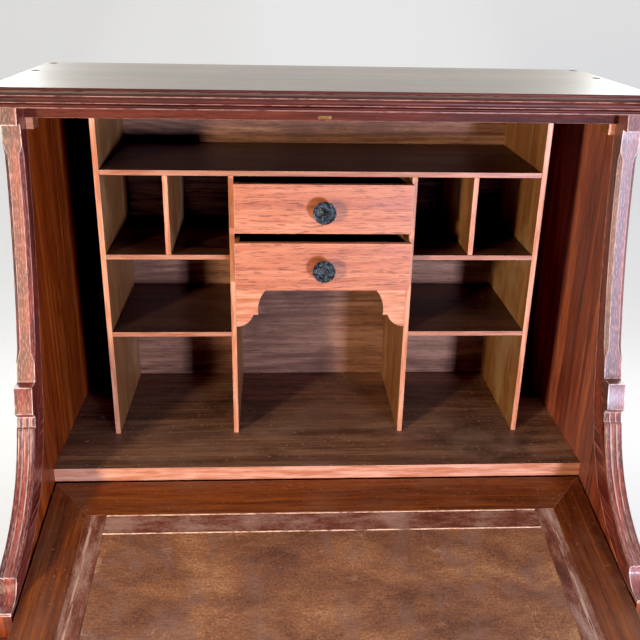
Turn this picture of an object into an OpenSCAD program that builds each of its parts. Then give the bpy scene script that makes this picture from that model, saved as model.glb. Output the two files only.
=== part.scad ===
// Fall-front secretary desk: a moulded top and carved side arms over a pigeonhole
// unit with two small drawers, a hinged fall that is the writing surface, and a
// lower case with three long drawers. Millimetres, +Z up, the floor at Z = 0, the
// user on the -Y side, the origin under the middle of the whole desk.

/* [Overall] */
// Clear width between the two side boards
inner_w = 740; // [700:5:800]
// Thickness of the side boards and of the carved stiles on their front edges
side_t = 23; // [20:0.5:26]
// Height of the pigeonhole floor (the deck) above the floor
deck_top = 770; // [765:1:780]
// Thickness of the deck board
deck_t = 20; // [18:0.5:22]
// Depth from the deck's front edge to the front of the upper back panel
deck_depth = 301; // [295:1:310]
// Thickness of the back panels
back_t = 8; // [6:0.5:10]
// Height of the top board's upper surface above the deck
top_rise = 508; // [500:1:515]

/* [Fall] */
// Angle of the open fall below the horizontal
fall_slope = 9.9; // [9.5:0.1:10]
// Angle of the closed fall behind the vertical
fall_lean = 7.2; // [7:0.1:7.2]
// Length of the fall, from the hinged edge to the free edge
fall_len = 515; // [505:1:515]
// Thickness of the fall
fall_t = 20; // [20:0.5:20]
// Gap between each end of the fall and the side board
fall_gap = 3; // [2:0.5:4]
// Width of the fall's end stiles
fall_stile_w = 52.5; // [48:0.5:56]
// Width of the fall's rails
fall_rail_w = 61; // [56:0.5:66]
// Width of the inset border beside the stiles
border_side_w = 26.5; // [22:0.5:30]
// Width of the inset border beside the rails
border_rail_w = 33.5; // [28:0.5:36]
// Radius of the hinge pins
pin_r = 3; // [2.5:0.5:3.5]

/* [Pigeonhole unit] */
// Outer width of the unit
unit_w = 602.2; // [590:0.2:620]
// Distance from the deck's front edge to the unit's front
unit_front = 94; // [90:1:98]
// Thickness of the unit's sides and dividers
unit_t = 7.2; // [6.4:0.1:8]
// Thickness of the unit's shelves
shelf_t = 7; // [6:0.5:8]
// Height of the low shelves' upper surface above the deck
shelf_low = 164.5; // [150:0.5:180]
// Height of the middle shelves' upper surface above the deck
shelf_mid = 279.4; // [270:0.2:290]
// Height of the top shelf's upper surface above the deck
shelf_top = 395.5; // [390:0.5:400]
// Half the clear width of the centre bay
bay_half = 119.2; // [115:0.2:125]
// Centre of the small divider in the left bay, from the middle of the desk
small_div_left = 209.4; // [200:0.2:220]
// Centre of the small divider in the right bay, from the middle of the desk
small_div_right = 206; // [200:0.2:220]
// Height of the small drawers' fronts
small_h = 66.5; // [64:0.5:67]
// How far the upper small drawer stands open
upper_ajar = 24.5; // [0:0.5:24.5]
// How far the lower small drawer stands open
lower_ajar = 34; // [0:0.5:34]

/* [Lower case] */
// Projection of the lower case in front of the deck's front edge
case_front = 222; // [218:1:225]
// Heights of the long drawers' openings, top to bottom
long_h = [149, 163, 177]; // [140:1:180]
// Thickness of the rails between the long drawers
rail_t = 18; // [16:1:20]
// Height of the lowest rail's underside above the floor
base_h = 94; // [90:1:98]
// Clearance around each long drawer's front
long_gap = 1.5; // [1:0.5:2]

/* [Knobs] */
// Radius of a small drawer's knob
knob_r = 15.25; // [14:0.25:16]
// Projection of a small drawer's knob
knob_out = 25; // [23:0.5:25]
// Size of a long drawer's knob against a small drawer's
long_knob_scale = 1.25; // [1:0.05:1.4]

/* [Top gallery] */
// Radius of the dowel holes for a gallery
dowel_r = 6.35; // [5:0.05:7]
// Spacing of the dowel holes across the desk
dowel_dx = 780; // [770:1:785]
// Spacing of the dowel holes from front to back
dowel_dy = 100; // [80:1:120]

/* [Hidden] */
$fn = 64;

half = inner_w / 2;
out_half = half + side_t;
back_face = deck_depth + back_t;

// The top board and the moulding under it
top_t = 17;
under_top = top_rise - top_t;
top_front = 18;
top_back = back_face + 6;
edge_out = 10;
top_over = 8.5;
moulding_h = 6.5;
header_front = 52;
header_low = 468;

// The fall: the hinged edge's upper corner when open, and the pivot
hinged_y = -3.5;
hinged_z = -20.5;
pivot_in = 13;
pivot_down = 9.5;
pivot_y = hinged_y - pivot_in * cos(fall_slope) + pivot_down * sin(fall_slope);
pivot_z = hinged_z - pivot_in * sin(fall_slope) - pivot_down * cos(fall_slope);
fall_half = half - fall_gap;
fall_front_y = hinged_y - fall_len * cos(fall_slope);
// Y of the closed fall's inner face at a height
function closed_y(z) =
    pivot_y + pivot_down / cos(fall_lean) + (z - pivot_z) * tan(fall_lean);
pin_clear = 0.04;
hairline = 0.1;
bush_r = 6;
bush_len = 10;
lock_x = -2.5;
bolt_w = 11;

// The lower case
ledge_top = -80;
case_top_low = -133;
front_t = 22;
shoulder_z = -56;
floor_z = -deck_top;
bottom_rail_low = base_h - deck_top;

// Shift that puts the origin under the middle of the desk
y_shift = -(fall_front_y + top_back) / 2;

MAHOGANY = "#6b2c1c";
MAHOGANY_RED = "#7d3526";
DARK_WOOD = "#4a2618";
PALE_WOOD = "#a9663f";
PINK_WOOD = "#b0664f";
DRAWER_WOOD = "#c08a5a";
IRON = "#1b1d21";
BRASS = "#b08a45";

// Moves a piece drawn from the deck's front edge into the desk's own frame
module placed() {
    translate([0, y_shift, deck_top]) children();
}

// A board between two corners, given from the deck's front edge
module board(low, high) {
    translate(low) cube(high - low);
}

// An outline in Y and Z, extruded from x0 to x1
module slab(x0, x1, points) {
    translate([x0, 0, 0])
        rotate([90, 0, 90])
            linear_extrude(x1 - x0) polygon(points);
}

// Points from a to b along a curve that swells to one side by sag
function bowed(a, b, sag, n = 16) =
    let (d = b - a, side = [d[1], -d[0]] / norm(d))
    [for (i = [0:n]) let (t = i / n) a + d * t + side * sag * 4 * t * (1 - t)];

// ---- Side boards and stiles ----

// Front outline of the carved stile, from its top to the shoulder of the case
STILE_FRONT = concat(
    [[60, under_top], [header_front, under_top], [header_front, under_top - moulding_h],
     [26, under_top - moulding_h], [22, 463], [34.5, 463]],
    bowed([34.5, 453], [-30, 152], -10),
    [[-31, 150], [-47, 150], [-47, 145], [-55, 116], [-47, 108]],
    bowed([-55.5, 98], [-190, -27], -24),
    bowed([-190, -35], [-case_front, -52], -7, 6)
);

// Glue line between the stile and the side board, from the shoulder up
GLUE_LINE = [
    [-199, shoulder_z], [-160, -50], [-110, -28], [-65, 5], [-30, 55], [-8, 110],
    [5, 160], [25, 240], [45, 340], [60, 440]
];

module carved_stile(side) {
    x0 = side > 0 ? half : -out_half;
    color(MAHOGANY_RED)
        placed()
            slab(x0, x0 + side_t, concat(STILE_FRONT, [[-case_front, shoulder_z]], GLUE_LINE));
}

// Arch between the feet of the side board
FOOT_FRONT = -150;
FOOT_BACK = 240;
ARCH_H = 60;
ARCH_R = 40;

module side_board(side) {
    x0 = side > 0 ? half : -out_half;
    color(MAHOGANY)
        placed()
            difference() {
                slab(x0, x0 + side_t, concat(
                    GLUE_LINE,
                    [[60, under_top], [back_face, under_top], [back_face, floor_z],
                     [FOOT_BACK, floor_z]],
                    [for (a = [0:10:90]) [FOOT_BACK - ARCH_R * (1 - cos(a)),
                        floor_z + ARCH_H - ARCH_R * (1 - sin(a))]],
                    [for (a = [90:10:180]) [FOOT_FRONT + ARCH_R * (1 + cos(a)),
                        floor_z + ARCH_H - ARCH_R * (1 - sin(a))]],
                    [[FOOT_FRONT, floor_z], [-199, floor_z]]
                ));
                // seat of the pivot bush
                translate([side * (half - 1), pivot_y, pivot_z])
                    rotate([0, side * 90, 0]) cylinder(r = bush_r, h = bush_len + 1);
            }
}

// Front stile of the lower case: a plain post down to the floor
module case_stile(side) {
    x0 = side > 0 ? half : -out_half;
    color(MAHOGANY_RED)
        placed() board([x0, -case_front, floor_z], [x0 + side_t, -199, shoulder_z]);
}

// ---- Top ----

// Moulded edge: a small nosing, a quirk, a slope outwards, and a rounded face;
// x runs outwards from the top's edge, y up from its underside
EDGE = concat(
    [[-30, top_t], [-1, top_t], [0, top_t - 1], [0, top_t - 3], [-1, top_t - 3.4]],
    [[-1, top_t - 4.2], [4, top_t - 5.2], [edge_out - 2, top_t - 8]],
    bowed([edge_out - 2, top_t - 8.6], [edge_out - 2, 0.8], -1.6, 8),
    [[edge_out - 3, 0], [-30, 0]]
);

// The moulded outline swept round the front and both ends of the top, mitred
module edged_top(outline, half_w, front_y, back_y, z) {
    translate([0, 0, z])
        intersection() {
            union() {
                // front run
                translate([-half_w - 40, front_y, 0])
                    rotate([90, 0, 90]) linear_extrude(2 * half_w + 80)
                        polygon([for (p = outline) [-p[0], p[1]]]);
                // ground behind the front run
                translate([-half_w + 29, front_y + 29, 0])
                    cube([2 * half_w - 58, back_y - front_y - 29, top_t]);
            }
            // mitre the run's ends
            linear_extrude(top_t) polygon([
                [-half_w - 40, front_y - 40], [half_w + 40, front_y - 40],
                [half_w - 30, front_y + 30], [half_w - 30, back_y],
                [-half_w + 30, back_y], [-half_w + 30, front_y + 30]
            ]);
        }
    for (s = [-1, 1])
        translate([0, 0, z])
            intersection() {
                translate([s * half_w, back_y, 0])
                    rotate([90, 0, 0]) linear_extrude(back_y - front_y + 40)
                        polygon([for (p = outline) [s * p[0], p[1]]]);
                linear_extrude(top_t) polygon([
                    [s * (half_w + 40), front_y - 40], [s * (half_w - 30), front_y + 30],
                    [s * (half_w - 30), back_y], [s * (half_w + 40), back_y]
                ]);
            }
}

module top_board() {
    top_half = out_half + top_over;
    color(MAHOGANY)
        placed()
            difference() {
                edged_top(EDGE, top_half, top_front, top_back, under_top);
                for (x = [-1, 1], y = [0, 1])
                    translate([x * dowel_dx / 2, back_face - 9 - y * dowel_dy, top_rise - 12])
                        cylinder(r = dowel_r, h = 13);
            }
}

// Bead and fillet under the top: x outwards from the bead's back, y up
BEAD = concat(
    [[-30, moulding_h], [0, moulding_h]],
    bowed([0, moulding_h], [0, 1.8], -2.2, 8),
    [[-1.5, 1.5], [-1.5, 0], [-30, 0]]
);

module cornice_moulding() {
    bead_y = 14;
    bead_x = out_half + 10;
    z = under_top - moulding_h;
    color(MAHOGANY_RED)
        placed() {
            // front run, back to the header
            intersection() {
                union() {
                    translate([-bead_x - 20, bead_y, z])
                        rotate([90, 0, 90]) linear_extrude(2 * bead_x + 40)
                            polygon([for (p = BEAD) [-p[0], p[1]]]);
                    board([-bead_x, bead_y + 29, z], [bead_x, header_front, z + moulding_h]);
                }
                translate([0, 0, z]) linear_extrude(moulding_h) polygon([
                    [-bead_x - 20, bead_y - 20], [bead_x + 20, bead_y - 20],
                    [out_half, bead_y + 10], [out_half, header_front],
                    [-out_half, header_front], [-out_half, bead_y + 10]
                ]);
            }
            // runs along the sides
            for (s = [-1, 1])
                intersection() {
                    translate([s * bead_x, back_face, z])
                        rotate([90, 0, 0]) linear_extrude(back_face - bead_y + 20)
                            polygon([for (p = BEAD) [s * p[0], p[1]]]);
                    translate([0, 0, z]) linear_extrude(moulding_h) polygon([
                        [s * (bead_x + 20), bead_y - 20], [s * out_half, bead_y + 10],
                        [s * out_half, back_face], [s * (bead_x + 20), back_face]
                    ]);
                }
        }
}

// Rail under the top, with a mortise for the lock's bolt and a seat for its keeper
module header_rail() {
    color(MAHOGANY)
        placed()
            difference() {
                board([-half, header_front, header_low], [half, header_front + 22, under_top]);
                board([lock_x - bolt_w / 2 - 1.5, header_front + 1.2, header_low - 1],
                      [lock_x + bolt_w / 2 + 1.5, header_front + 9, header_low + 11]);
                board([lock_x - 7.5, header_front - 1, header_low + 2.5],
                      [lock_x + 7.5, header_front + 1.2, header_low + 5.5]);
            }
}

module lock_keeper() {
    color(BRASS)
        placed() board([lock_x - 7.5, header_front, header_low + 2.5],
                       [lock_x + 7.5, header_front + 1.2, header_low + 5.5]);
}

// Two blocks under the header that stop the closing fall
module fall_stop_blocks() {
    color(PALE_WOOD)
        placed()
            for (s = [-1, 1])
                translate([s * (half - 4.5), 0, 0])
                    board([-4.5, closed_y(header_low) + 0.3, header_low - 15], [4.5, 82, header_low]);
}

// ---- Deck, ledge and backs ----

module deck_board() {
    color(DARK_WOOD) placed() board([-half, 0, -deck_t], [half, deck_depth, 0]);
}

module hinge_rail() {
    color(MAHOGANY) placed() board([-half, 4, ledge_top], [half, 24, -deck_t]);
}

module upper_back_panel() {
    color(DARK_WOOD) placed() board([-half, deck_depth, -deck_t], [half, back_face, under_top]);
}

module lower_back_panel() {
    color(DARK_WOOD)
        placed() board([-half, deck_depth, base_h - deck_top], [half, back_face, -deck_t]);
}

module ledge_board() {
    color(MAHOGANY)
        placed() board([-half, -case_front + front_t, ledge_top - 18], [half, deck_depth, ledge_top]);
}

// Rail under the ledge; its top slopes with the open fall, which rests on it
module case_top_rail() {
    rest_gap = 0.3;
    function underside(y) = hinged_z - fall_t / cos(fall_slope)
        + (y - hinged_y) * tan(fall_slope) - rest_gap;
    color(MAHOGANY)
        placed() slab(-half, half, [
            [-case_front, underside(-case_front)],
            [-case_front + front_t, underside(-case_front + front_t)],
            [-case_front + front_t, case_top_low], [-case_front, case_top_low]
        ]);
}

// ---- Mouldings of the lower case ----

// A moulding round the front and both sides; x outwards, y up
module three_sided(outline, z, deep) {
    w = deep + 6;
    intersection() {
        translate([-out_half - w, -case_front, z])
            rotate([90, 0, 90]) linear_extrude(2 * out_half + 2 * w)
                polygon([for (p = outline) [-p[0], p[1]]]);
        translate([0, 0, z - 1]) linear_extrude(60) polygon([
            [-out_half - w, -case_front - w], [out_half + w, -case_front - w],
            [out_half, -case_front], [-out_half, -case_front]
        ]);
    }
    for (s = [-1, 1])
        intersection() {
            translate([s * out_half, back_face, z])
                rotate([90, 0, 0]) linear_extrude(back_face + case_front + w)
                    polygon([for (p = outline) [s * p[0], p[1]]]);
            translate([0, 0, z - 1]) linear_extrude(60) polygon([
                [s * (out_half + w), -case_front - w], [s * out_half, -case_front],
                [s * out_half, back_face], [s * (out_half + w), back_face]
            ]);
        }
}

WAIST = concat(
    [[0, 24], [9, 24], [10, 23], [10, 20], [9, 19]],
    bowed([9, 19], [9, 9], -3.5, 8),
    [[7, 8.5], [7, 6]],
    bowed([7, 6], [2, 1], 1.6, 6),
    [[2, 0], [0, 0]]
);

module waist_moulding() {
    color(MAHOGANY_RED) placed() three_sided(WAIST, case_top_low + 24, 12);
}

// ---- Rails, runners and base ----

// Top of long drawer i's opening, from the deck
function opening_top(i) =
    i == 0 ? case_top_low : opening_top(i - 1) - long_h[i - 1] - rail_t;

module case_rails() {
    color(MAHOGANY)
        placed()
            for (i = [1:2])
                board([-half, -case_front, opening_top(i)],
                      [half, -case_front + front_t, opening_top(i) + rail_t]);
}

module drawer_runners() {
    color(PALE_WOOD)
        placed()
            for (i = [1:2], s = [-1, 1])
                translate([s * (half - 14), 0, 0])
                    board([-14, -case_front + front_t, opening_top(i)],
                          [14, deck_depth, opening_top(i) + rail_t]);
}

module case_bottom_board() {
    color(DARK_WOOD)
        placed() board([-half, -case_front, bottom_rail_low],
                       [half, deck_depth, bottom_rail_low + rail_t]);
}

// Apron between the front feet, with a shaped lower edge
module shaped_apron() {
    low = floor_z + 34;
    rise = floor_z + 62;
    color(MAHOGANY)
        placed()
            translate([0, -case_front + front_t, 0])
                rotate([90, 0, 0])
                    linear_extrude(front_t - 2)
                        polygon(concat(
                            [[-half, bottom_rail_low], [-half, low]],
                            bowed([-half + 60, low], [-half + 120, rise], -9, 8),
                            bowed([-70, rise], [0, low + 4], 7, 8),
                            bowed([0, low + 4], [70, rise], 7, 8),
                            bowed([half - 120, rise], [half - 60, low], -9, 8),
                            [[half, low], [half, bottom_rail_low]]
                        ));
}

module pivot_bushes() {
    color(BRASS)
        placed()
            for (s = [-1, 1])
                translate([s * half, pivot_y, pivot_z])
                    rotate([0, s * 90, 0])
                        difference() {
                            cylinder(r = bush_r, h = bush_len);
                            translate([0, 0, -1]) cylinder(r = pin_r + pin_clear, h = bush_len);
                        }
}

// ---- Pigeonhole unit ----

unit_half = unit_w / 2;
unit_in = unit_half - unit_t;
unit_back_t = 6;
unit_back_y = deck_depth - unit_back_t;
div_out = bay_half + unit_t;

module unit_side(side) {
    color(PALE_WOOD)
        placed()
            translate([side * (unit_half - unit_t / 2), 0, 0])
                board([-unit_t / 2, unit_front, 0], [unit_t / 2, unit_back_y, under_top]);
}

module unit_back() {
    color(DRAWER_WOOD)
        placed() board([-unit_half, unit_back_y, 0], [unit_half, deck_depth, under_top]);
}

module unit_top_shelf() {
    color(DARK_WOOD)
        placed() board([-unit_in, unit_front, shelf_top - shelf_t],
                       [unit_in, unit_back_y, shelf_top]);
}

module bay_shelves(top) {
    color(DARK_WOOD)
        placed()
            for (s = [-1, 1])
                translate([s * (unit_in + div_out) / 2, 0, 0])
                    board([-(unit_in - div_out) / 2, unit_front, top - shelf_t],
                          [(unit_in - div_out) / 2, unit_back_y, top]);
}

module unit_divider(side) {
    color(PALE_WOOD)
        placed()
            translate([side * (bay_half + unit_t / 2), 0, 0])
                board([-unit_t / 2, unit_front, 0],
                      [unit_t / 2, unit_back_y, shelf_top - shelf_t]);
}

module unit_small_dividers() {
    color(PALE_WOOD)
        placed()
            for (x = [-small_div_left, small_div_right])
                translate([x, 0, 0])
                    board([-shelf_t / 2, unit_front, shelf_mid],
                          [shelf_t / 2, unit_back_y, shelf_top - shelf_t]);
}

// Shelves under the two small drawers
drawer_gap = 0.5;
upper_floor = shelf_top - shelf_t - small_h - 5.5;
lower_floor = upper_floor - shelf_t - small_h - 3.5;

module unit_drawer_shelves() {
    color(PALE_WOOD)
        placed()
            for (z = [upper_floor, lower_floor])
                board([-bay_half, unit_front, z - shelf_t], [bay_half, unit_back_y, z]);
}

// Shaped brackets in the corners under the drawers
module valance_brackets() {
    drop = lower_floor - shelf_t;
    color(PALE_WOOD)
        placed()
            for (s = [-1, 1])
                translate([s * bay_half, unit_front + 6, drop])
                    rotate([90, 0, 0])
                        linear_extrude(6)
                            polygon([for (p = concat(
                                [[0, 0], [44, 0]],
                                bowed([44, -2], [31, -42], 5, 8),
                                bowed([24, -42], [0, -60], -5, 8)
                            )) [-s * p[0], p[1]]]);
}

// ---- Small drawers ----

// Places a small drawer with its front's lower middle at the origin
module small_place(floor_h, ajar) {
    placed() translate([0, unit_front - ajar, floor_h + drawer_gap]) children();
}

small_w = 2 * bay_half - 2.2;
small_front_t = 9;
small_deep = 188;

module small_front() {
    color(PINK_WOOD)
        difference() {
            translate([-small_w / 2, 0, 0]) cube([small_w, small_front_t, small_h]);
            translate([0, small_front_t + 1, small_h / 2])
                rotate([90, 0, 0]) cylinder(r = 3.1, h = small_front_t + 2);
        }
}

// Two sides, a back and a bottom, each a board of its own with a hairline joint

module drawer_box(w, h, y0, deep, wall, bottom) {
    in_w = w - 2 * wall - 2 * hairline;
    for (s = [-1, 1])
        translate([s * (w - wall) / 2 - wall / 2, y0, 0]) cube([wall, deep, h]);
    translate([-in_w / 2, y0 + deep - wall, 0]) cube([in_w, wall, h]);
    translate([-in_w / 2, y0, 2]) cube([in_w, deep - wall - hairline, bottom]);
}

module small_box() {
    color(DRAWER_WOOD)
        drawer_box(small_w, small_h - 3, small_front_t, small_deep - small_front_t, 6, 4);
}

// Round iron knob with a spindle and a nut behind the drawer's front; +Z out
module knob(r, out, front) {
    rotate_extrude()
        polygon(concat(
            [[0, -front - 6], [2.9, -front - 6], [2.9, 0], [r * 0.6, 0], [r * 0.6, 2]],
            bowed([r * 0.45, 3.5], [r * 0.5, out * 0.45], -1.2, 6),
            [[r * 0.93, out * 0.68], [r, out * 0.7], [r, out * 0.79], [r * 0.94, out * 0.8]],
            bowed([r * 0.93, out * 0.8], [0, out], 1.4, 10)
        ));
    translate([0, 0, -front - 4])
        difference() {
            cylinder(r = 6.5, h = 4, $fn = 6);
            translate([0, 0, -1]) cylinder(r = 2.9, h = 6);
        }
}

module small_knob() {
    color(IRON)
        translate([0, 0, small_h / 2])
            rotate([90, 0, 0]) knob(knob_r, knob_out, small_front_t);
}

// ---- Long drawers ----

long_front_t = 20;
long_deep = 485;
long_wall = 12;

module long_place(i) {
    placed()
        translate([0, -case_front + 2, opening_top(i) - long_h[i] + long_gap]) children();
}

module long_front(i) {
    w = inner_w - 2 * long_gap;
    h = long_h[i] - 2 * long_gap;
    color(MAHOGANY_RED)
        difference() {
            translate([-w / 2, 0, 0]) cube([w, long_front_t, h]);
            for (s = [-1, 1])
                translate([s * w * 0.29, long_front_t + 1, h / 2])
                    rotate([90, 0, 0]) cylinder(r = 3.1, h = long_front_t + 2);
        }
}

module long_box(i) {
    w = inner_w - 2 * long_gap;
    h = long_h[i] - 2 * long_gap;
    color(DRAWER_WOOD)
        drawer_box(w, h - 6, long_front_t, long_deep - long_front_t, long_wall, 8);
}

module long_knobs(i) {
    w = inner_w - 2 * long_gap;
    h = long_h[i] - 2 * long_gap;
    color(IRON)
        for (s = [-1, 1])
            translate([s * w * 0.29, 0, h / 2])
                rotate([90, 0, 0])
                    knob(knob_r * long_knob_scale, knob_out * long_knob_scale, long_front_t);
}

// ---- Fall ----

// Places a piece drawn flat: y from 0 at the hinged edge to -fall_len at the free
// edge, z = 0 at the writing surface, turned down to the open fall's slope
module fall_place() {
    placed() translate([0, hinged_y, hinged_z]) rotate([fall_slope, 0, 0]) children();
}

module flat_piece(points, low, high) {
    translate([0, 0, low]) linear_extrude(high - low) polygon(points);
}

fall_in_x = fall_half - fall_stile_w;
fall_in_y = fall_rail_w;

module fall_stile(side) {
    color(MAHOGANY)
        fall_place()
            difference() {
                flat_piece([
                    [side * fall_half, 0], [side * fall_in_x, -fall_in_y],
                    [side * fall_in_x, -fall_len + fall_in_y], [side * fall_half, -fall_len]
                ], -fall_t, 0);
                translate([side * (fall_half - 25), -pivot_in, -pivot_down])
                    rotate([0, side * 90, 0]) cylinder(r = pin_r, h = 26);
            }
}

module fall_rail(free) {
    a = free ? -fall_len : 0;
    b = free ? -fall_len + fall_in_y : -fall_in_y;
    color(MAHOGANY)
        fall_place()
            difference() {
                flat_piece([[-fall_half, a], [fall_half, a], [fall_in_x, b], [-fall_in_x, b]],
                           -fall_t, 0);
                if (free)
                    lock_space();
                else
                    for (s = [-1, 1])
                        translate([s * (fall_half - 25), -pivot_in, -pivot_down])
                            rotate([0, s * 90, 0]) cylinder(r = pin_r, h = 26);
            }
}

core_low = -16;
core_high = -3.5;

module fall_core_panel() {
    color(MAHOGANY)
        fall_place()
            flat_piece([
                [-fall_in_x, -fall_in_y], [fall_in_x, -fall_in_y],
                [fall_in_x, -fall_len + fall_in_y], [-fall_in_x, -fall_len + fall_in_y]
            ], core_low, core_high);
}

module fall_border() {
    x1 = fall_in_x;
    x0 = fall_in_x - border_side_w;
    near = fall_in_y;
    far = fall_len - fall_in_y;
    color(MAHOGANY_RED)
        fall_place() {
            for (s = [-1, 1])
                flat_piece([[s * x1, -near], [s * x0, -near], [s * x0, -far], [s * x1, -far]],
                           core_high, -0.4);
            for (y = [-near, -far + border_rail_w])
                flat_piece([
                    [-x0 + hairline, y], [x0 - hairline, y],
                    [x0 - hairline, y - border_rail_w], [-x0 + hairline, y - border_rail_w]
                ], core_high, -0.4);
        }
}

module fall_writing_panel() {
    x0 = fall_in_x - border_side_w;
    near = fall_in_y + border_rail_w;
    far = fall_len - fall_in_y - border_rail_w;
    color(DARK_WOOD)
        fall_place()
            flat_piece([[-x0, -near], [x0, -near], [x0, -far], [-x0, -far]], core_high, -0.9);
}

module pivot_pins() {
    color(BRASS)
        fall_place()
            for (s = [-1, 1])
                translate([s * (fall_half - 25), -pivot_in, -pivot_down])
                    rotate([0, s * 90, 0])
                        cylinder(r = pin_r, h = 25 + fall_gap + bush_len - 2);
}

// Space in the free rail for the lock and its bolt
lock_len = 30;
lock_half_w = 32;
lock_deep = 12;
bolt_low = -4;
bolt_high = -1.2;
bolt_len = 24;

module lock_space() {
    translate([lock_x - lock_half_w, -fall_len - 1, -lock_deep])
        cube([2 * lock_half_w, lock_len + 1, lock_deep + 1]);
}

module lock_case() {
    color(BRASS)
        fall_place()
            difference() {
                translate([lock_x - lock_half_w, -fall_len, -lock_deep])
                    cube([2 * lock_half_w, lock_len, lock_deep]);
                translate([lock_x - bolt_w / 2 - 0.3, -fall_len - 1, bolt_low - 0.3])
                    cube([bolt_w + 0.6, bolt_len + 2, bolt_high - bolt_low + 0.6]);
            }
}

module lock_bolt() {
    color(BRASS)
        fall_place()
            translate([lock_x - bolt_w / 2, -fall_len + 0.3, bolt_low])
                cube([bolt_w, bolt_len, bolt_high - bolt_low]);
}

// Oval plate on the fall's outer face, with a keyhole
module lock_escutcheon() {
    color(BRASS)
        fall_place()
            translate([lock_x, -fall_len + 30, -fall_t - 1.5])
                difference() {
                    union() {
                        cylinder(r = 11, h = 1.5);
                        translate([0, 10, 0]) cylinder(r = 7, h = 1.5);
                        translate([0, -10, 0]) cylinder(r = 7, h = 1.5);
                    }
                    translate([0, 3, -1]) cylinder(r = 2.6, h = 4);
                    translate([-1.2, -7, -1]) cube([2.4, 10, 4]);
                }
}

// ---- Assembly ----

side_board(-1);  // side_board_left
side_board(1);  // side_board_right
carved_stile(-1);  // carved_stile_left
carved_stile(1);  // carved_stile_right
case_stile(-1);  // case_stile_left
case_stile(1);  // case_stile_right
top_board();
cornice_moulding();
header_rail();
lock_keeper();
fall_stop_blocks();
pivot_bushes();
deck_board();
hinge_rail();
upper_back_panel();
lower_back_panel();
ledge_board();
case_top_rail();
waist_moulding();
case_rails();
drawer_runners();
case_bottom_board();
shaped_apron();
unit_side(-1);  // unit_side_left
unit_side(1);  // unit_side_right
unit_back();
unit_top_shelf();
bay_shelves(shelf_mid);  // unit_mid_shelves
bay_shelves(shelf_low);  // unit_low_shelves
unit_divider(-1);  // unit_divider_left
unit_divider(1);  // unit_divider_right
unit_small_dividers();
unit_drawer_shelves();
valance_brackets();
fall_stile(-1);  // fall_stile_left
fall_stile(1);  // fall_stile_right
fall_rail(false);  // fall_rail_rear
fall_rail(true);  // fall_rail_front
fall_core_panel();
fall_border();
fall_writing_panel();
pivot_pins();
lock_case();
lock_escutcheon();
lock_bolt();
small_place(upper_floor, upper_ajar) small_front();  // upper_drawer_front
small_place(upper_floor, upper_ajar) small_box();  // upper_drawer_box
small_place(upper_floor, upper_ajar) small_knob();  // upper_drawer_knob
small_place(lower_floor, lower_ajar) small_front();  // lower_drawer_front
small_place(lower_floor, lower_ajar) small_box();  // lower_drawer_box
small_place(lower_floor, lower_ajar) small_knob();  // lower_drawer_knob
long_place(0) long_front(0);  // long_drawer_1_front
long_place(0) long_box(0);  // long_drawer_1_box
long_place(0) long_knobs(0);  // long_drawer_1_knobs
long_place(1) long_front(1);  // long_drawer_2_front
long_place(1) long_box(1);  // long_drawer_2_box
long_place(1) long_knobs(1);  // long_drawer_2_knobs
long_place(2) long_front(2);  // long_drawer_3_front
long_place(2) long_box(2);  // long_drawer_3_box
long_place(2) long_knobs(2);  // long_drawer_3_knobs
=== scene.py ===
"""A fall-front secretary desk: detailed pieces, materials, light and camera
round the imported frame. Lengths written as plain numbers in the desk's own outline
are millimetres from the deck's front edge; at() turns them into metres."""

import math

import bmesh
import bpy
from mathutils import Matrix, Vector, noise


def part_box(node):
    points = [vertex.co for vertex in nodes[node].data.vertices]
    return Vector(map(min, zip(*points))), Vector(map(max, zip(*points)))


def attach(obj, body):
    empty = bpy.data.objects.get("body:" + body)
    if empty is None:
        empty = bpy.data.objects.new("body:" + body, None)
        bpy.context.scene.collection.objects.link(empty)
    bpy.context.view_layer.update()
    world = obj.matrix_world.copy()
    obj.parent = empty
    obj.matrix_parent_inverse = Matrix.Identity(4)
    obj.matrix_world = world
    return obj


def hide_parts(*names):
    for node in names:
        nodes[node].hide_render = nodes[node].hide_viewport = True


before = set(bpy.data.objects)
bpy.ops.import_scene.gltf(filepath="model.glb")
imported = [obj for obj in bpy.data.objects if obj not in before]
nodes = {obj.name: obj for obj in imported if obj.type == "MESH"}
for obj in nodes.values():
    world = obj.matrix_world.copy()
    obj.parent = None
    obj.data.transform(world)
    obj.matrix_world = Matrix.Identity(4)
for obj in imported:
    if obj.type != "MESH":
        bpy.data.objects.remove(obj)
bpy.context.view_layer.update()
MM = 0.001

# ---- Measures taken from the frame ----

deck_low, deck_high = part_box("deck_board")
ORIGIN = Vector((0.0, deck_low.y, deck_high.z))


def at(x, y, z):
    """A point in metres, from millimetres measured from the deck's front edge."""
    return ORIGIN + Vector((x, y, z)) * MM


def box_mm(node):
    """A node's lowest and highest corners, in millimetres from the deck's front edge."""
    low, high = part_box(node)
    return (low - ORIGIN) / MM, (high - ORIGIN) / MM


half = box_mm("deck_board")[1].x
out_half = box_mm("side_board_right")[1].x
side_t = out_half - half
top_low, top_high = box_mm("top_board")
back_face = box_mm("side_board_right")[1].y
under_top = top_low.z
case_front = -box_mm("case_stile_left")[0].y

fall_box = box_mm("fall_stile_right")
FALL_SLOPE = math.radians(9.9)  # the open fall's slope down towards the user
HINGED_Y = -3.5  # the upper corner of the open fall's hinged edge
HINGED_Z = -20.5
FALL_LEN = 515.0
FALL_HALF = fall_box[1].x
FALL_STILE_W = FALL_HALF - fall_box[0].x
FALL_RAIL_W = 61.0


def on_fall(x, y, z):
    """A point on the fall drawn flat: y runs from 0 at the hinged edge to -FALL_LEN."""
    turned = Matrix.Rotation(FALL_SLOPE, 3, "X") @ Vector((x, y, z))
    return at(turned.x, turned.y + HINGED_Y, turned.z + HINGED_Z)


# ---- Small helpers for points ----


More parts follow.
